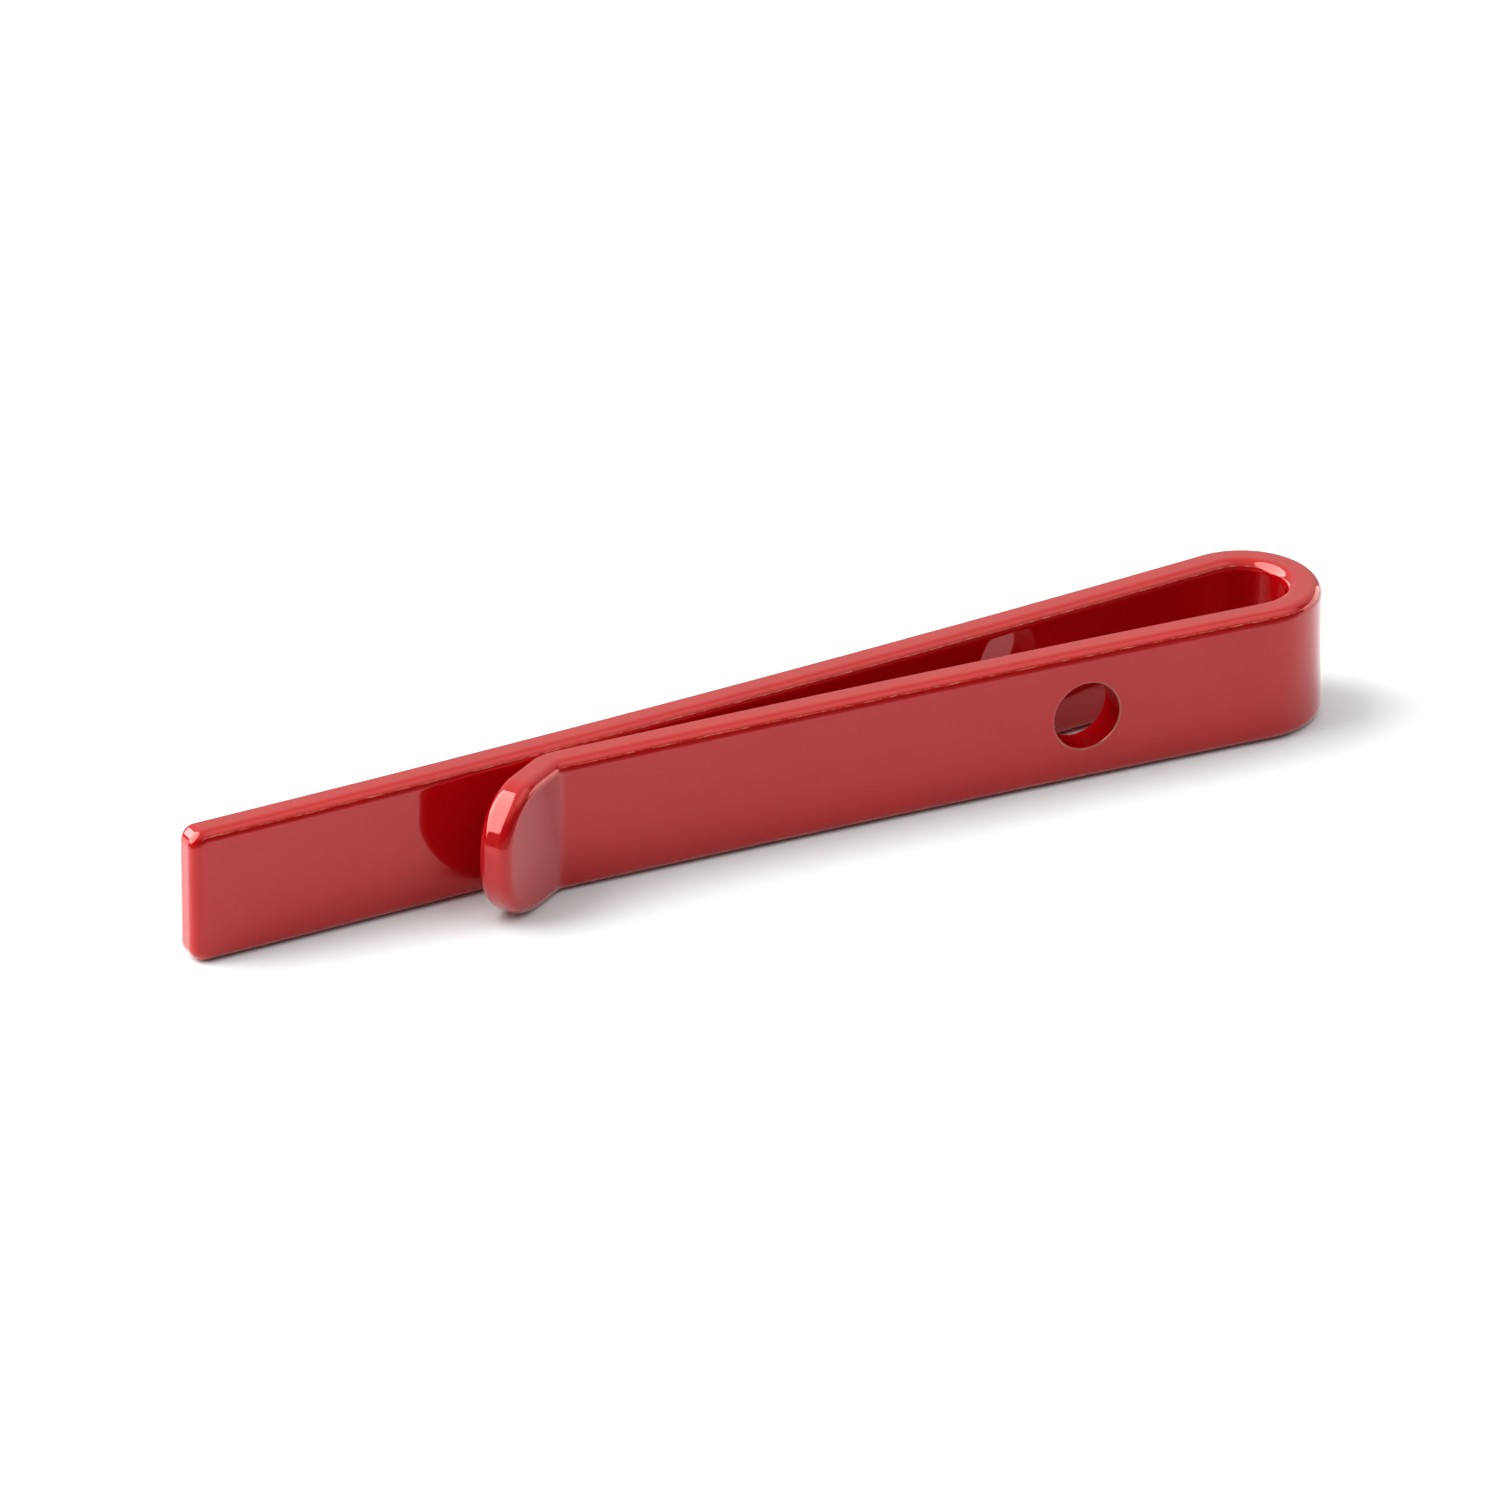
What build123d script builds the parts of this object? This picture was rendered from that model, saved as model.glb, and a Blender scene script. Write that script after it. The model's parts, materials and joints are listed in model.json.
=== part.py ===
from build123d import *
import os
from math import cos, degrees, radians, sin

# Tie bar: one flat strip bent into a hairpin and lacquered all over. It stands on its long edge:
# +X runs along the long bar towards the bend, +Z is up across the strip, and the spring arm is on
# the -Y side. The origin is the centre of the footprint, on the surface it stands on. Millimetres.

# strip
WIDTH = 6.0
THICKNESS = 1.5
EDGE_R = 0.5
COAT = 0.1

# long bar, slightly bowed: its outer face is the hollow side
BAR_LENGTH = 49.2
BAR_BOW_R = 705.0
BAR_CORNER_R = 0.7

# bend, cut into equal segments: the first half moves with the bar and the second with the arm,
# and the two halves are parted by a hairline, so that nothing rubs when the hairpin opens
BEND_R = 3.35
BEND_TURN = 188.8
BEND_SEGMENTS = 6
HAIRLINE = 0.04

# spring arm, bowed the other way, with a round hole near the bend
ARM_LENGTH = 32.55
ARM_BOW_R = 850.0
HOLE_R = 1.5
HOLE_FROM_BEND = 8.7

# flared lip: a tight knee, then a flat tongue
KNEE_R = 0.9
KNEE_TURN = 34.0
TONGUE_LENGTH = 4.15
TONGUE_CORNER_R = 2.6


def bearing(angle):
    """Unit vector in plan, angle degrees clockwise from +Y."""
    return Vector(sin(radians(angle)), cos(radians(angle)), 0)


# Each stretch turns about an upright line. The bend's outer face touches y = 0 where the bar starts.
HAIRLINE_TURN = degrees(HAIRLINE / BEND_R)
BAR_TURN = degrees(BAR_LENGTH / BAR_BOW_R)
ARM_TURN = degrees(ARM_LENGTH / ARM_BOW_R)
BAR_PIVOT = Vector(0, BAR_BOW_R, 0)
BEND_PIVOT = Vector(0, -BEND_R, 0)
ARM_PIVOT = BEND_PIVOT + bearing(BEND_TURN) * (BEND_R + ARM_BOW_R)
ARM_START = BEND_TURN - 180
KNEE_START = ARM_START - ARM_TURN
KNEE_PIVOT = ARM_PIVOT + bearing(KNEE_START) * (ARM_BOW_R - KNEE_R)
TONGUE_START = KNEE_START - KNEE_TURN


def cross_section(pivot, mid_radius, start):
    """Upright plane across the strip, where it starts to turn about pivot."""
    outward = bearing(start)
    middle = pivot + outward * mid_radius + Vector(0, 0, WIDTH / 2)
    return Plane(origin=middle, x_dir=outward, z_dir=bearing(start + 90))


def turn_section(pivot, turn):
    """Turns the pending section about pivot, clockwise seen from above if turn is positive."""
    direction = (0, 0, -1) if turn > 0 else (0, 0, 1)
    revolve(axis=Axis(pivot, direction), revolution_arc=abs(turn))


def bent_strip(pivot, mid_radius, start, turn, inset):
    """A stretch of strip with all four long edges rounded, inset below the finished surface."""
    with BuildPart() as strip:
        with BuildSketch(cross_section(pivot, mid_radius, start)):
            RectangleRounded(THICKNESS - 2 * inset, WIDTH - 2 * inset, EDGE_R - inset)
        turn_section(pivot, turn)
    return strip


def long_bar(inset):
    """The long bar, from the bend to its square free end with rounded corners."""
    mid_radius = BAR_BOW_R + THICKNESS / 2
    turn = BAR_TURN - degrees(inset / BAR_BOW_R)
    with BuildPart() as bar:
        with BuildSketch(cross_section(BAR_PIVOT, mid_radius, 180)):
            Rectangle(THICKNESS - 2 * inset, WIDTH - 2 * inset)
        turn_section(BAR_PIVOT, turn)
        end_face = bar.faces().sort_by(Axis.X)[0]
        fillet(end_face.edges().filter_by(Plane.XY), radius=BAR_CORNER_R - inset)
        wide_faces = bar.faces().sort_by(SortBy.AREA)[-2:]
        rim = wide_faces.edges().filter_by(lambda edge: edge.center().X < -inset - 0.01)
        fillet(rim, radius=EDGE_R - inset)
    return bar


def spring_arm(inset):
    """The spring arm, from the bend to the lip, with its hole drilled square to the strip."""
    mid_radius = ARM_BOW_R + THICKNESS / 2
    hole_plane = Plane(
        origin=ARM_PIVOT
        + bearing(ARM_START - degrees(HOLE_FROM_BEND / ARM_BOW_R)) * mid_radius
        + Vector(0, 0, WIDTH / 2),
        x_dir=(0, 0, 1),
        z_dir=bearing(ARM_START - degrees(HOLE_FROM_BEND / ARM_BOW_R)),
    )
    with BuildPart() as arm:
        add(bent_strip(ARM_PIVOT, mid_radius, ARM_START, -ARM_TURN, inset).part)
        with BuildSketch(hole_plane):
            Circle(HOLE_R + inset)
        extrude(amount=THICKNESS, both=True, mode=Mode.SUBTRACT)
    return arm


def flared_lip(inset):
    """The tongue with its edge rounded all the way round, then the knee that joins it to the arm."""
    root = KNEE_PIVOT + bearing(TONGUE_START) * (KNEE_R + inset) + Vector(0, 0, WIDTH / 2)
    travel = bearing(TONGUE_START - 90)
    with BuildPart() as lip:
        with BuildSketch(Plane(origin=root, x_dir=travel, z_dir=bearing(TONGUE_START))) as outline:
            Rectangle(TONGUE_LENGTH - inset, WIDTH - 2 * inset, align=(Align.MIN, Align.CENTER))
            fillet(outline.vertices().group_by(Axis.X)[-1], radius=TONGUE_CORNER_R - inset)
        extrude(amount=THICKNESS - 2 * inset)
        rim = [
            edge
            for face in lip.faces().sort_by(SortBy.AREA)[-2:]
            for edge in face.edges()
            if (edge.center() - root).dot(travel) > 0.01
        ]
        fillet(rim, radius=EDGE_R - inset)
        with BuildSketch(cross_section(KNEE_PIVOT, KNEE_R + THICKNESS / 2, KNEE_START)):
            RectangleRounded(THICKNESS - 2 * inset, WIDTH - 2 * inset, EDGE_R - inset)
        turn_section(KNEE_PIVOT, -KNEE_TURN)
    return lip


def bend_segment(index, inset):
    """One of the equal segments of the bend, counted from the long bar."""
    step = (BEND_TURN - HAIRLINE_TURN) / BEND_SEGMENTS
    start = index * step
    if index >= BEND_SEGMENTS / 2:
        start += HAIRLINE_TURN
    return bent_strip(BEND_PIVOT, BEND_R - THICKNESS / 2, start, step, inset)


def stretches(inset):
    """Every stretch of the strip, inset below the finished surface, by name."""
    parts = {"long_bar": long_bar(inset)}
    for index in range(BEND_SEGMENTS):
        parts[f"bend_{index + 1}"] = bend_segment(index, inset)
    parts["spring_arm"] = spring_arm(inset)
    parts["flared_lip"] = flared_lip(inset)
    return parts


finished = stretches(0)
metal = stretches(COAT)
footprint = Compound([stretch.part for stretch in finished.values()]).bounding_box().center()
to_origin = Location((-footprint.X, -footprint.Y, 0))

os.makedirs("parts", exist_ok=True)
for name, stretch in finished.items():
    with BuildPart() as lacquer:
        add(stretch.part)
        add(metal[name].part, mode=Mode.SUBTRACT)
    pieces = {f"{name}_metal": metal[name].part, f"{name}_lacquer": lacquer.part}
    for label, shape in pieces.items():
        placed = shape.moved(to_origin)
        placed.label = label
        export_step(placed, f"parts/{label}.step")
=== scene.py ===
import json
from math import asin, atan2, cos, pi, radians, sin

import bpy
import numpy as np
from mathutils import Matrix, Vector


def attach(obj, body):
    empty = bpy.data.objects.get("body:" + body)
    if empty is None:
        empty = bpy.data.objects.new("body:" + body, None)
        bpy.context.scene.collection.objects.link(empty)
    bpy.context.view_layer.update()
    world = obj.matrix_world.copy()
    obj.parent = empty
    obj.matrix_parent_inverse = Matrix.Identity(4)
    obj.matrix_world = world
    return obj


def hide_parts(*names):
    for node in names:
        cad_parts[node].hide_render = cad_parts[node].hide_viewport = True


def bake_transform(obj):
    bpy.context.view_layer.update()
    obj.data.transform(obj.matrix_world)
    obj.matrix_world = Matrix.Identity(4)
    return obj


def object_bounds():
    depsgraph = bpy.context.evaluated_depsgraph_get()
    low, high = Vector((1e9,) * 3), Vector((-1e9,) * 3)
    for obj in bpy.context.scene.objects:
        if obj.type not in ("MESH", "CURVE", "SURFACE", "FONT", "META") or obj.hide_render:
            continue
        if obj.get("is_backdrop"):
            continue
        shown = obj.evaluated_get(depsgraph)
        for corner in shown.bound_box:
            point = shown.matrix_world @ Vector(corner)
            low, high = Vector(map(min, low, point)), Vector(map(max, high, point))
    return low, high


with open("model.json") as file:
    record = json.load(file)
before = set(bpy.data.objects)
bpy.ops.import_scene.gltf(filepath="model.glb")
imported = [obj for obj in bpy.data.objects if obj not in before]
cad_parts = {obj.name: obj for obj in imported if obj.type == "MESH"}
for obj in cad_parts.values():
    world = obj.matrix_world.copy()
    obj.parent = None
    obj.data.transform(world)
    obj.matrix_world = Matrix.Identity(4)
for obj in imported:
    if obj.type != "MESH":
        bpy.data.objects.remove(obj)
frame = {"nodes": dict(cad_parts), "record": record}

cad_low, cad_high = (list(corner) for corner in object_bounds())

# A lacquered tie bar. The looks are one coat of lacquer over the metal strip, made in the strip's
# unrolled form (s along it, u through its thickness, z up across it) and bent along the hairpin.
# Lengths of the strip are in millimetres, and MM turns them into the frame's metres.
MM = 0.001

THICKNESS = 1.5
WIDTH = (cad_high[2] - cad_low[2]) / MM
EDGE_R = 0.5
COAT = 0.1
BAR_LENGTH = 49.2      # along its outer face
BAR_BOW_R = 705.0
BAR_TURN = BAR_LENGTH / BAR_BOW_R
BAR_CORNER_R = 0.7
BEND_R = 3.35
BEND_TURN = radians(188.8)
ARM_LENGTH = 32.55     # along its outer face
ARM_BOW_R = 850.0
ARM_TURN = ARM_LENGTH / ARM_BOW_R
HOLE_R = 1.5
HOLE_EDGE_R = 0.09
HOLE_FROM_BEND = 8.7
KNEE_R = 0.9
KNEE_TURN = radians(34.0)
TONGUE_LENGTH = 4.15
TONGUE_CORNER_R = 2.6

# ---------------------------------------------------------------- the hairpin in plan


def bearing(angle):
    """Unit vector in plan, angle in radians clockwise from +Y."""
    return np.array([np.sin(angle), np.cos(angle)])


BEND_PIVOT = np.array([cad_high[0] / MM - BEND_R, cad_low[1] / MM + BEND_R])
BAR_PIVOT = BEND_PIVOT + np.array([0, BEND_R + BAR_BOW_R])
ARM_PIVOT = BEND_PIVOT + bearing(BEND_TURN) * (BEND_R + ARM_BOW_R)
ARM_START = BEND_TURN - pi
KNEE_START = ARM_START - ARM_TURN
KNEE_PIVOT = ARM_PIVOT + bearing(KNEE_START) * (ARM_BOW_R - KNEE_R)
TONGUE_START = KNEE_START - KNEE_TURN

HALF = THICKNESS / 2
# pivot, radius of the mid-line, first bearing, turn, and 1 where the outer face is the far one from the pivot
ARCS = [
    (BAR_PIVOT, BAR_BOW_R + HALF, pi + BAR_TURN, -BAR_TURN, -1),
    (BEND_PIVOT, BEND_R - HALF, 0.0, BEND_TURN, 1),
    (ARM_PIVOT, ARM_BOW_R + HALF, ARM_START, -ARM_TURN, -1),
    (KNEE_PIVOT, KNEE_R + HALF, KNEE_START, -KNEE_TURN, -1),
]
ARC_ENDS = np.cumsum([radius * abs(turn) for _, radius, _, turn, _ in ARCS])
BEND_S, ARM_S, KNEE_S, TONGUE_S = ARC_ENDS
TIP_S = TONGUE_S + TONGUE_LENGTH


def along(s):
    """Mid-line point, travel direction and outward direction in plan, at distance s along the strip."""
    for (pivot, radius, first, turn, side), end in zip(ARCS, ARC_ENDS):
        if s <= end:
            angle = first + turn * (1 - (end - s) / (radius * abs(turn)))
            break
    else:
        angle = TONGUE_START
    radial = bearing(angle)
    travel = np.sign(turn) * np.array([radial[1], -radial[0]])
    beyond = max(s - TONGUE_S, 0.0)
    return pivot + radial * radius + travel * beyond, travel, side * radial


def to_frame(s, u, z):
    """A point of the strip's unrolled form, where it lies in the frame, in metres."""
    middle, _, outward = along(s)
    x, y = middle + outward * u
    return (x * MM, y * MM, z * MM)


def direction(s, along_s, along_u, along_z):
    """A direction at distance s along the strip, in the frame."""
    _, travel, outward = along(s)
    x, y = travel * along_s + outward * along_u
    return (x, y, along_z)


# ---------------------------------------------------------------- the coat of lacquer

ROWS = 24              # across each wide face
EDGE_STEPS = 10        # round each quarter of a rounded edge
CORNER_STEPS = 14      # round each corner in the strip's outline
HOLE_MARGIN_ROWS = 2   # rows of the wide face left above and below the block round the hole
HOLE_RINGS = 7         # from the block to the hole
RING_CROWDING = 0.8    # below 1, the rings crowd towards the hole
SHARP_EDGE_R = 0.005   # the hole's edge on the side against the metal
ROW_HEIGHT = (WIDTH - 2 * EDGE_R) / ROWS
TINY = 1e-9            # a rounding error, to be ignored
HOLE_S = ARM_S + HOLE_FROM_BEND * (ARM_BOW_R + HALF) / ARM_BOW_R


def even(start, end, step):
    """Evenly spaced values from start to end, no further apart than step."""
    return list(np.linspace(start, end, int(np.ceil((end - start) / step - TINY)) + 1))


def column(s):
    """Lowest and highest z of the wide face at s, which ends in two rounded corners at each end."""
    inset = 0.0
    for end, corner_r in ((0.0, BAR_CORNER_R), (TIP_S, TONGUE_CORNER_R)):
        into_corner = corner_r - abs(s - end)
        if into_corner > 0:
            reach = corner_r - EDGE_R
            inset = corner_r - EDGE_R - max(reach**2 - into_corner**2, 0.0) ** 0.5
    return EDGE_R + inset, WIDTH - EDGE_R - inset


def corner_stations(end, corner_r, side):
    """Distances along the strip that divide a corner's arc evenly, from the end inwards."""
    reach = corner_r - EDGE_R
    angles = np.linspace(0, pi / 2, CORNER_STEPS + 1)
    return [end + side * (corner_r - reach * cos(angle)) for angle in angles]


def rim_direction(s, k):
    """Outward direction in the (s, z) plane, at row k of the wide face's border."""
    up = 1 if k == ROWS else -1
    for end, corner_r, side in ((0.0, BAR_CORNER_R, -1), (TIP_S, TONGUE_CORNER_R, 1)):
        into_corner = corner_r - abs(s - end)
        if into_corner > TINY:
            if 0 < k < ROWS:
                return (side, 0.0)
            sideways = min(into_corner / (corner_r - EDGE_R), 1.0)
            return (side * sideways, up * (1 - sideways**2) ** 0.5)
    return (0.0, up)


def edge_profile(inset):
    """Round the strip's edge from the outer face to the inner one: reach, u, and the normal's two parts."""
    r = EDGE_R - inset
    flat = HALF - EDGE_R
    quarter = [pi / 2 * j / EDGE_STEPS for j in range(1, EDGE_STEPS + 1)]
    upper = [(r * sin(a), flat + r * cos(a), sin(a), cos(a)) for a in quarter]
    lower = [(reach, -u, out, -over) for reach, u, out, over in reversed(upper)]
    return upper + [(r, 0.0, 1.0, 0.0)] + lower


class Skin:
    """Vertices with normals and masks, and faces, of one closed piece of the coat."""

    def __init__(self):
        self.points, self.normals, self.masks, self.faces = [], [], [], []

    def add(self, s, u, z, normal, flip, roll=0.0, long_edge=0.0, rim=0.0):
        sign = -1 if flip else 1
        self.points.append(to_frame(s, u, z))
        self.normals.append(tuple(sign * n for n in direction(s, *normal)))
        self.masks.append((roll, long_edge, rim))
        return len(self.points) - 1

    def quads(self, one, other):
        """Faces between two equally long chains of vertices."""
        for i in range(len(one) - 1):
            self.faces.append((one[i], one[i + 1], other[i + 1], other[i]))


def add_surface(skin, stations, inset, starts, ends, hole):
    """The finished surface (inset 0) or the surface against the metal. Returns its loops at the seams."""
    flip = inset > 0
    faces_u = {1: HALF - inset, -1: -HALF + inset}
    grid = {}
    block = hole_block(stations) if hole else None
    for i, s in enumerate(stations):
        low, high = column(s)
        for k in range(ROWS + 1):
            z = low + (high - low) * k / ROWS
            if block and block[0] < i < block[1] and HOLE_MARGIN_ROWS < k < ROWS - HOLE_MARGIN_ROWS:
                continue
            for side, u in faces_u.items():
                grid[side, i, k] = skin.add(s, u, z, (0, side, 0), flip)
    for side in faces_u:
        for i in range(len(stations) - 1):
            for k in range(ROWS):
                corners = [(side, i, k), (side, i + 1, k), (side, i + 1, k + 1), (side, i, k + 1)]
                in_rows = HOLE_MARGIN_ROWS <= k < ROWS - HOLE_MARGIN_ROWS
                if block and block[0] <= i < block[1] and in_rows:
                    continue
                skin.faces.append(tuple(grid[c] for c in corners))
    if hole:
        add_hole(skin, stations, inset, block, grid, faces_u)
    return add_edges(skin, stations, inset, starts, ends, grid, flip)


def add_edges(skin, stations, inset, starts, ends, grid, flip):
    """The rounded edge all round the piece, except where it meets its neighbours."""
    last = len(stations) - 1
    bottom = [(i, 0) for i in range(last + 1)]
    top = [(i, ROWS) for i in range(last, -1, -1)]
    right = [(last, k) for k in range(1, ROWS)] if ends else []
    left = [(0, k) for k in range(ROWS - 1, 0, -1)] if starts else []
    profile = edge_profile(inset)
    rims = {}
    for i, k in bottom + right + top + left:
        s = stations[i]
        low, high = column(s)
        z = low + (high - low) * k / ROWS
        out_s, out_z = rim_direction(s, k)
        chain = [grid[1, i, k]]
        for reach, u, out, over in profile:
            normal = (out_s * out, over, out_z * out)
            roll = 1 - asin(min(abs(over), 1.0)) / (pi / 2)
            place = (s + out_s * reach, u, z + out_z * reach)
            chain.append(skin.add(*place, normal, flip, roll=roll, long_edge=abs(out_z)))
        chain.append(grid[-1, i, k])
        rims[i, k] = chain
    border = bottom + right + top + left
    for one, other in zip(border, border[1:] + border[:1]):
        crosses_seam = {one[0], other[0]} in ({0}, {last}) and abs(one[1] - other[1]) == ROWS
        if not crosses_seam:
            skin.quads(rims[one], rims[other])
    seams = []
    for open_end, i in ((not starts, 0), (not ends, last)):
        if open_end:
            outer = [grid[1, i, k] for k in range(ROWS + 1)]
            inner = [grid[-1, i, k] for k in range(ROWS, -1, -1)]
            seams.append(outer + rims[i, ROWS][1:-1] + inner + rims[i, 0][-2:0:-1])
    return seams


def hole_block(stations):
    """First and last station of the square block of the wide face that the hole's rings replace."""
    half = (ROWS / 2 - HOLE_MARGIN_ROWS) * ROW_HEIGHT
    first = int(np.argmin([abs(s - (HOLE_S - half)) for s in stations]))
    return first, first + ROWS - 2 * HOLE_MARGIN_ROWS


def add_hole(skin, stations, inset, block, grid, faces_u):
    """Rings from the square block to the hole on both wide faces, its rounded rims and its wall."""
    first, last = block
    low, high = HOLE_MARGIN_ROWS, ROWS - HOLE_MARGIN_ROWS
    around = [(i, low) for i in range(first, last)] + [(last, k) for k in range(low, high)]
    around += [(i, high) for i in range(last, first, -1)] + [(first, k) for k in range(high, low, -1)]
    wall_r = HOLE_R + inset
    rim_r = HOLE_R + HOLE_EDGE_R
    edge_r = rim_r - wall_r if rim_r > wall_r else SHARP_EDGE_R
    middle_z = WIDTH / 2
    flip = inset > 0
    angles = [atan2((k - ROWS / 2) * ROW_HEIGHT, stations[i] - HOLE_S) for i, k in around]
    walls = {}
    for side, u in faces_u.items():
        loops = [[grid[side, i, k] for i, k in around]]
        for ring in range(1, HOLE_RINGS + 1):
            share = (ring / HOLE_RINGS) ** RING_CROWDING
            loop = []
            for (i, k), angle in zip(around, angles):
                square = np.array([stations[i] - HOLE_S, (k - ROWS / 2) * ROW_HEIGHT])
                circle = (wall_r + edge_r) * np.array([cos(angle), sin(angle)])
                ds, dz = square + (circle - square) * share
                loop.append(skin.add(HOLE_S + ds, u, middle_z + dz, (0, side, 0), flip))
            loops.append(loop)
        for j in range(1, EDGE_STEPS + 1):
            turn = pi / 2 * j / EDGE_STEPS
            r = wall_r + edge_r * (1 - sin(turn))
            depth = side * (abs(u) - edge_r * (1 - cos(turn)))
            loop = []
            for angle in angles:
                ds, dz = r * cos(angle), r * sin(angle)
                normal = (-cos(angle) * sin(turn), side * cos(turn), -sin(angle) * sin(turn))
                mask = sin(2 * turn) if side == 1 else 0.0
                loop.append(skin.add(HOLE_S + ds, depth, middle_z + dz, normal, flip, rim=mask))
            loops.append(loop)
        for one, other in zip(loops, loops[1:]):
            skin.quads(one + one[:1], other + other[:1])
        walls[side] = loops[-1]
    skin.quads(walls[1] + walls[1][:1], walls[-1] + walls[-1][:1])


def make_coat(name, stations, starts=False, ends=False, hole=False):
    """A closed shell of lacquer between two seams, or between a seam and a rounded end of the strip."""
    skin = Skin()
    finished = add_surface(skin, stations, 0.0, starts, ends, hole)
    against_metal = add_surface(skin, stations, COAT, starts, ends, hole)
    body_faces = len(skin.faces)
    seam_ends = [i for i, real_end in ((0, starts), (-1, ends)) if not real_end]
    seam_normals = []
    for end, outer, inner in zip(seam_ends, finished, against_metal):
        before = len(skin.faces)
        skin.quads(outer + outer[:1], inner + inner[:1])
        away = -1 if end == 0 else 1
        normal = direction(stations[end], away, 0, 0)
        seam_normals += [normal] * (len(skin.faces) - before)
    points = np.array(skin.points)
    normals = np.array(skin.normals)
    faces = np.array(skin.faces)
    corner_normals = normals[faces]
    if seam_normals:
        corner_normals[body_faces:] = np.array(seam_normals)[:, None, :]
    across = np.cross(points[faces[:, 2]] - points[faces[:, 0]], points[faces[:, 3]] - points[faces[:, 1]])
    backwards = np.einsum("ij,ij->i", across, corner_normals.mean(axis=1)) < 0
    faces[backwards] = faces[backwards][:, ::-1]
    corner_normals[backwards] = corner_normals[backwards][:, ::-1]
    mesh = bpy.data.meshes.new(name)
    mesh.from_pydata(points.tolist(), [], faces.tolist())
    mesh.update()
    for index, attribute in enumerate(("roll", "long_edge", "rim")):
        values = mesh.attributes.new(attribute, "FLOAT", "POINT")
        values.data.foreach_set("value", [mask[index] for mask in skin.masks])
    mesh.shade_smooth()
    mesh.normals_split_custom_set(corner_normals.reshape(-1, 3).tolist())
    coat = bpy.data.objects.new(name, mesh)
    bpy.context.scene.collection.objects.link(coat)
    return coat


# the most between two stations along the strip
BAR_STEP = 0.3
BEND_STEP = 0.06
ARM_STEP = 0.25
LIP_STEP = 0.08

bar_stations = corner_stations(0.0, BAR_CORNER_R, 1) + even(BAR_CORNER_R, BEND_S, BAR_STEP)[1:]
bend_stations = even(BEND_S, ARM_S, BEND_STEP)
hole_half = (ROWS / 2 - HOLE_MARGIN_ROWS) * ROW_HEIGHT
arm_stations = even(ARM_S, HOLE_S - hole_half, ARM_STEP)
arm_stations += even(HOLE_S - hole_half, HOLE_S + hole_half, ROW_HEIGHT)[1:]
arm_stations += even(HOLE_S + hole_half, KNEE_S, ARM_STEP)[1:]
arm_stations += even(KNEE_S, TONGUE_S, LIP_STEP)[1:]
arm_stations += even(TONGUE_S, TIP_S - TONGUE_CORNER_R, LIP_STEP)[1:]
arm_stations += corner_stations(TIP_S, TONGUE_CORNER_R, -1)[::-1][1:]

bar_coat = make_coat("bar_coat", bar_stations, starts=True)
bend_coat = make_coat("bend_coat", bend_stations)
arm_coat = make_coat("arm_coat", arm_stations, ends=True, hole=True)

# ---------------------------------------------------------------- materials


def new_material(name):
    """An empty node material, and its tree."""
    material = bpy.data.materials.new(name)
    material.use_nodes = True
    material.node_tree.nodes.clear()
    return material, material.node_tree


def add_node(tree, kind, **settings):
    """A node with its properties, and its inputs by name, set."""
    node = tree.nodes.new(kind)
    for key, value in settings.items():
        if hasattr(node, key):
            setattr(node, key, value)
        else:
            node.inputs[key.replace("_", " ")].default_value = value
    return node


# places across the rounded edge for the painted highlight line: 0 at the wide face, 1 at the edge's middle
EDGE_LINE_AT = 0.4
EDGE_LINE_STRAYS = 0.09   # at most, towards the wide face


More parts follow.
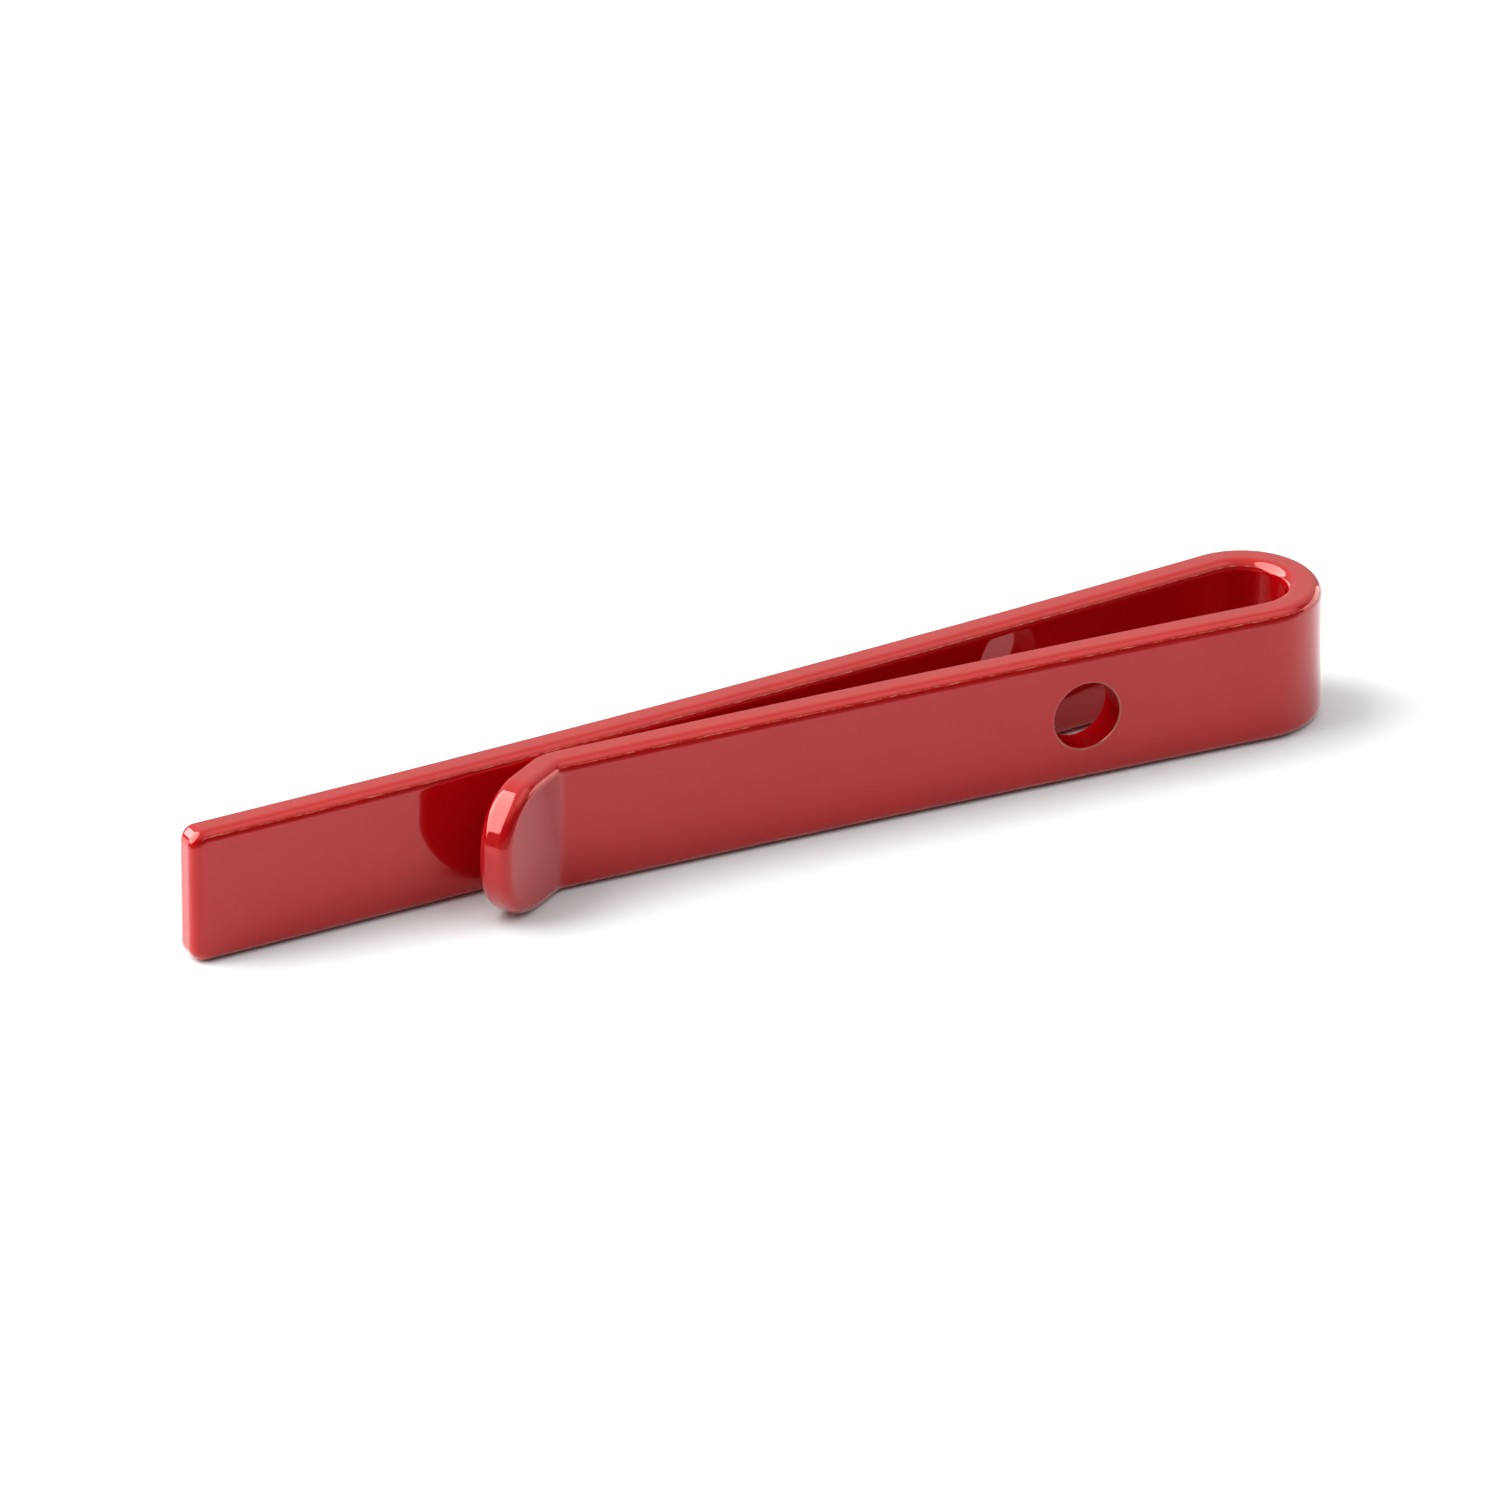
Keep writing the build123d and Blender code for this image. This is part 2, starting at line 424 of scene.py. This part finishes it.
def red_lacquer():
    """Red under clear gloss: pigment, red-tinted reflection, and a pale painted highlight where it is thin.
    """
    material, tree = new_material("red_lacquer")
    place = add_node(tree, "ShaderNodeTexCoord")
    out = add_node(tree, "ShaderNodeOutputMaterial")
    gloss = add_node(tree, "ShaderNodeBsdfPrincipled", Roughness=0.06, IOR=1.95)
    gloss.inputs["Specular Tint"].default_value = (1.0, 0.03, 0.02, 1)
    gloss.inputs["Coat Weight"].default_value = 1.0
    gloss.inputs["Coat Roughness"].default_value = 0.03
    gloss.inputs["Coat IOR"].default_value = 1.42
    # pigment: slow drifts of shade
    slow = add_node(tree, "ShaderNodeTexNoise", Scale=260.0, Detail=3.0)
    shade = add_node(tree, "ShaderNodeValToRGB")
    shade.color_ramp.elements[0].position = 0.3
    shade.color_ramp.elements[0].color = (0.335, 0.001, 0.003, 1)
    shade.color_ramp.elements[1].position = 0.7
    shade.color_ramp.elements[1].color = (0.365, 0.002, 0.004, 1)
    tree.links.new(place.outputs["Object"], slow.inputs["Vector"])
    tree.links.new(slow.outputs["Fac"], shade.inputs["Fac"])
    # a broken pale line along each long stamped edge, where the lacquer is thinnest: a painted highlight
    roll = add_node(tree, "ShaderNodeAttribute", attribute_name="roll")
    wander = add_node(tree, "ShaderNodeTexNoise", Scale=1500.0, Detail=2.0)
    drift = add_node(tree, "ShaderNodeMath", operation="MULTIPLY_ADD")
    drift.inputs[1].default_value = EDGE_LINE_STRAYS
    off_line = add_node(tree, "ShaderNodeMath", operation="SUBTRACT")
    off_line.inputs[1].default_value = EDGE_LINE_AT
    spread = add_node(tree, "ShaderNodeMath", operation="ABSOLUTE")
    line = add_node(tree, "ShaderNodeMapRange", interpolation_type="SMOOTHSTEP")
    line.inputs["From Min"].default_value = 0.045
    line.inputs["From Max"].default_value = 0.01
    breaks = add_node(tree, "ShaderNodeTexNoise", Scale=3200.0, Detail=3.0)
    broken = add_node(tree, "ShaderNodeMapRange")
    broken.inputs["From Min"].default_value = 0.42
    broken.inputs["From Max"].default_value = 0.72
    broken.inputs["To Min"].default_value = 0.1
    along_edge = add_node(tree, "ShaderNodeAttribute", attribute_name="long_edge")
    only_long = add_node(tree, "ShaderNodeMapRange")
    only_long.inputs["From Min"].default_value = 0.8
    on_line = add_node(tree, "ShaderNodeMath", operation="MULTIPLY")
    painted_edge_highlight = add_node(tree, "ShaderNodeMath", operation="MULTIPLY")
    tree.links.new(along_edge.outputs["Fac"], only_long.inputs["Value"])
    for texture in (wander, breaks):
        tree.links.new(place.outputs["Object"], texture.inputs["Vector"])
    tree.links.new(wander.outputs["Fac"], drift.inputs[0])
    tree.links.new(roll.outputs["Fac"], drift.inputs[2])
    tree.links.new(drift.outputs["Value"], off_line.inputs[0])
    tree.links.new(off_line.outputs["Value"], spread.inputs[0])
    tree.links.new(spread.outputs["Value"], line.inputs["Value"])
    tree.links.new(breaks.outputs["Fac"], broken.inputs["Value"])
    tree.links.new(line.outputs["Result"], on_line.inputs[0])
    tree.links.new(broken.outputs["Result"], on_line.inputs[1])
    tree.links.new(on_line.outputs["Value"], painted_edge_highlight.inputs[0])
    tree.links.new(only_long.outputs["Result"], painted_edge_highlight.inputs[1])
    # the pale colour of the painted highlight on the long edges, mixed into the red
    paled = add_node(tree, "ShaderNodeMix", data_type="RGBA")
    paled.inputs["B"].default_value = (0.6, 0.2, 0.15, 1)
    tree.links.new(painted_edge_highlight.outputs["Value"], paled.inputs["Factor"])
    tree.links.new(shade.outputs["Color"], paled.inputs["A"])
    # a duller, browner rim round the hole, where the lacquer is worn
    rim = add_node(tree, "ShaderNodeAttribute", attribute_name="rim")
    worn = add_node(tree, "ShaderNodeMix", data_type="RGBA")
    worn.inputs["B"].default_value = (0.32, 0.11, 0.08, 1)
    tree.links.new(rim.outputs["Fac"], worn.inputs["Factor"])
    tree.links.new(paled.outputs["Result"], worn.inputs["A"])
    tree.links.new(worn.outputs["Result"], gloss.inputs["Base Color"])
    # the gloss coat's waviness
    peel = add_node(tree, "ShaderNodeTexNoise", Scale=900.0, Detail=1.0)
    waves = add_node(tree, "ShaderNodeBump", Strength=1.0, Distance=0.000008)
    tree.links.new(place.outputs["Object"], peel.inputs["Vector"])
    tree.links.new(peel.outputs["Fac"], waves.inputs["Height"])
    tree.links.new(waves.outputs["Normal"], gloss.inputs["Normal"])
    tree.links.new(waves.outputs["Normal"], gloss.inputs["Coat Normal"])
    tree.links.new(gloss.outputs["BSDF"], out.inputs["Surface"])
    return material


def strip_metal():
    """The strip's steel, faintly streaked along its length."""
    material, tree = new_material("strip_metal")
    place = add_node(tree, "ShaderNodeTexCoord")
    out = add_node(tree, "ShaderNodeOutputMaterial")
    steel = add_node(tree, "ShaderNodeBsdfPrincipled", Metallic=1.0)
    grain = add_node(tree, "ShaderNodeTexNoise", Scale=400.0, Detail=6.0)
    stretch = add_node(tree, "ShaderNodeMapping", Scale=(0.08, 1.0, 1.0))
    tone = add_node(tree, "ShaderNodeValToRGB")
    tone.color_ramp.elements[0].color = (0.42, 0.4, 0.38, 1)
    tone.color_ramp.elements[1].color = (0.68, 0.66, 0.63, 1)
    rough = add_node(tree, "ShaderNodeMapRange")
    rough.inputs["To Min"].default_value = 0.25
    rough.inputs["To Max"].default_value = 0.45
    tree.links.new(place.outputs["Object"], stretch.inputs["Vector"])
    tree.links.new(stretch.outputs["Vector"], grain.inputs["Vector"])
    tree.links.new(grain.outputs["Fac"], tone.inputs["Fac"])
    tree.links.new(grain.outputs["Fac"], rough.inputs["Value"])
    tree.links.new(tone.outputs["Color"], steel.inputs["Base Color"])
    tree.links.new(rough.outputs["Result"], steel.inputs["Roughness"])
    tree.links.new(steel.outputs["BSDF"], out.inputs["Surface"])
    return material


def pale_floor():
    """Matt pale paper, slightly blue against the warm light."""
    material, tree = new_material("pale_floor")
    out = add_node(tree, "ShaderNodeOutputMaterial")
    paper = add_node(tree, "ShaderNodeBsdfPrincipled", Roughness=0.8)
    paper.inputs["Base Color"].default_value = (0.75, 0.81, 0.87, 1)
    tree.links.new(paper.outputs["BSDF"], out.inputs["Surface"])
    return material


lacquer = red_lacquer()
metal = strip_metal()
for coat in (bar_coat, bend_coat, arm_coat):
    coat.data.materials.append(lacquer)
for name, node in frame["nodes"].items():
    node.data.materials.clear()
    node.data.materials.append(metal if name.endswith("_metal") else lacquer)

# ---------------------------------------------------------------- what moves with what

bodies = frame["record"]["behaviour"]["bodies"]
bends = [name for names in bodies.values() for name in names if name.startswith("bend_")]
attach(bar_coat, "bar_side")
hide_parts("long_bar_lacquer")
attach(arm_coat, "arm_side")
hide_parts("spring_arm_lacquer", "flared_lip_lacquer")
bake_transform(bend_coat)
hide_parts(*[name for name in bends if name.endswith("_lacquer")])

# ---------------------------------------------------------------- floor, light and camera

bpy.context.scene.view_settings.view_transform = "Standard"

bpy.ops.mesh.primitive_plane_add(size=6.0, location=(0, 0, cad_low[2]))
floor = bpy.context.object
floor.name = "floor"
floor.data.materials.append(pale_floor())
floor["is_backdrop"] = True


WARM_WHITE = (1.0, 0.97, 0.91)


def softbox(name, place, aim, size, power):
    """A rectangular area light that faces aim."""
    light = bpy.data.lights.new(name, "AREA")
    light.shape = "RECTANGLE"
    light.size, light.size_y = size
    light.energy = power
    light.color = WARM_WHITE
    holder = bpy.data.objects.new(name, light)
    holder.location = place
    holder.rotation_euler = (Vector(aim) - Vector(place)).to_track_quat("-Z", "Y").to_euler()
    bpy.context.scene.collection.objects.link(holder)


def lit_panel(name, place, size, radiance):
    """A softbox that faces the object and looks as bright as radiance."""
    softbox(name, place, (0, 0, 0), size, radiance * pi * size[0] * size[1])


lit_panel("left_panel", place=(-0.43, 0.26, 0.38), size=(0.5, 0.92), radiance=5.6)
lit_panel("top_panel", place=(0.39, -0.36, 0.6), size=(0.5, 0.66), radiance=0.8)
lit_panel("right_panel", place=(0.9, 0.0, 0.17), size=(0.95, 0.36), radiance=1.9)


# cards for the object's gloss alone: two grey ones for the dark line under its top edge, and a bright one
# for the highlight on the lip's tip


def show_only_in_gloss(thing):
    """Hides a card from the camera, and from diffuse and shadow rays."""
    thing.visible_camera = False
    thing.visible_diffuse = False
    thing.visible_shadow = False


def grey_card():
    """The matt grey of the low cards."""
    material, tree = new_material("grey_card")
    out = add_node(tree, "ShaderNodeOutputMaterial")
    grey = add_node(tree, "ShaderNodeBsdfDiffuse", Color=(0.3, 0.3, 0.3, 1))
    tree.links.new(grey.outputs["BSDF"], out.inputs["Surface"])
    return material


def flag(name, start, end, height, card):
    """A low card that stands on the floor."""
    (x0, y0), (x1, y1) = start, end
    z0 = cad_low[2]
    mesh = bpy.data.meshes.new(name)
    corners = [(x0, y0, z0), (x1, y1, z0), (x1, y1, z0 + height), (x0, y0, z0 + height)]
    mesh.from_pydata(corners, [], [(0, 1, 2, 3)])
    mesh.materials.append(card)
    standing = bpy.data.objects.new(name, mesh)
    bpy.context.scene.collection.objects.link(standing)
    show_only_in_gloss(standing)
    standing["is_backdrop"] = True


FLAG_GAP = 0.015
FLAG_HEIGHT = 0.0062
card = grey_card()
west, east = cad_low[0] - FLAG_GAP, cad_high[0] + FLAG_GAP
south, north = cad_low[1] - FLAG_GAP, cad_high[1] + FLAG_GAP
flag("front_flag", (west, south), (east, south), FLAG_HEIGHT, card)
flag("left_flag", (west, north), (west, south), FLAG_HEIGHT, card)


def bright_card(name, place, radius, radiance):
    """A bright round card that faces the object."""
    material, tree = new_material(name)
    out = add_node(tree, "ShaderNodeOutputMaterial")
    shine = add_node(tree, "ShaderNodeEmission", Color=(*WARM_WHITE, 1), Strength=radiance)
    tree.links.new(shine.outputs["Emission"], out.inputs["Surface"])
    bpy.ops.mesh.primitive_circle_add(vertices=64, radius=radius, fill_type="NGON", location=place)
    disc = bpy.context.object
    disc.name = name
    disc.rotation_euler = (-Vector(place)).to_track_quat("Z", "Y").to_euler()
    disc.data.materials.append(material)
    show_only_in_gloss(disc)
    disc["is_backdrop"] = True


bright_card("left_card", place=(-0.32, 0.2, 0.32), radius=0.36, radiance=8.0)

# the studio round it: brighter with height, and dark low down on the camera's side
world = bpy.data.worlds.new("studio")
bpy.context.scene.world = world
world.use_nodes = True
sky = world.node_tree
sky.nodes.clear()
ray = add_node(sky, "ShaderNodeTexCoord")
split = add_node(sky, "ShaderNodeSeparateXYZ")
behind = add_node(sky, "ShaderNodeMapRange", interpolation_type="SMOOTHSTEP")
behind.inputs["From Min"].default_value = -0.45
behind.inputs["From Max"].default_value = 0.25
overhead = add_node(sky, "ShaderNodeMapRange", interpolation_type="SMOOTHSTEP")
overhead.inputs["From Min"].default_value = 0.5
overhead.inputs["From Max"].default_value = 0.8
lit = add_node(sky, "ShaderNodeMath", operation="MAXIMUM")
brightness = add_node(sky, "ShaderNodeMapRange")
brightness.inputs["To Min"].default_value = 0.12
upwards = add_node(sky, "ShaderNodeMapRange")
upwards.inputs["From Max"].default_value = 0.9
upwards.inputs["To Min"].default_value = 0.3
upwards.inputs["To Max"].default_value = 1.15
glow = add_node(sky, "ShaderNodeBackground", Color=(*WARM_WHITE, 1))
sky_out = add_node(sky, "ShaderNodeOutputWorld")
sky.links.new(ray.outputs["Generated"], split.inputs["Vector"])
sky.links.new(split.outputs["Y"], behind.inputs["Value"])
sky.links.new(split.outputs["Z"], overhead.inputs["Value"])
sky.links.new(behind.outputs["Result"], lit.inputs[0])
sky.links.new(overhead.outputs["Result"], lit.inputs[1])
sky.links.new(lit.outputs["Value"], brightness.inputs["Value"])
sky.links.new(split.outputs["Z"], upwards.inputs["Value"])
sky.links.new(upwards.outputs["Result"], brightness.inputs["To Max"])
sky.links.new(brightness.outputs["Result"], glow.inputs["Strength"])
sky.links.new(glow.outputs["Background"], sky_out.inputs["Surface"])

CAMERA_AZIMUTH = radians(-32.64)
CAMERA_ELEVATION = radians(26.84)
CAMERA_DISTANCE = 0.7845
CAMERA_LENS = 455.0
SENSOR = 36.0
AIM_FROM_CENTRE = Vector((-1.19, -0.22, 1.39)) * MM

centre = (Vector(cad_low) + Vector(cad_high)) / 2
aim = centre + AIM_FROM_CENTRE
level = cos(CAMERA_ELEVATION)
backwards = Vector((sin(CAMERA_AZIMUTH) * level, -cos(CAMERA_AZIMUTH) * level, sin(CAMERA_ELEVATION)))
lens = bpy.data.cameras.new("camera")
lens.lens = CAMERA_LENS
lens.sensor_width = SENSOR
lens.clip_start = 0.01
camera = bpy.data.objects.new("camera", lens)
camera.location = aim + backwards * CAMERA_DISTANCE
camera.rotation_euler = (-backwards).to_track_quat("-Z", "Y").to_euler()
bpy.context.scene.collection.objects.link(camera)
bpy.context.scene.camera = camera
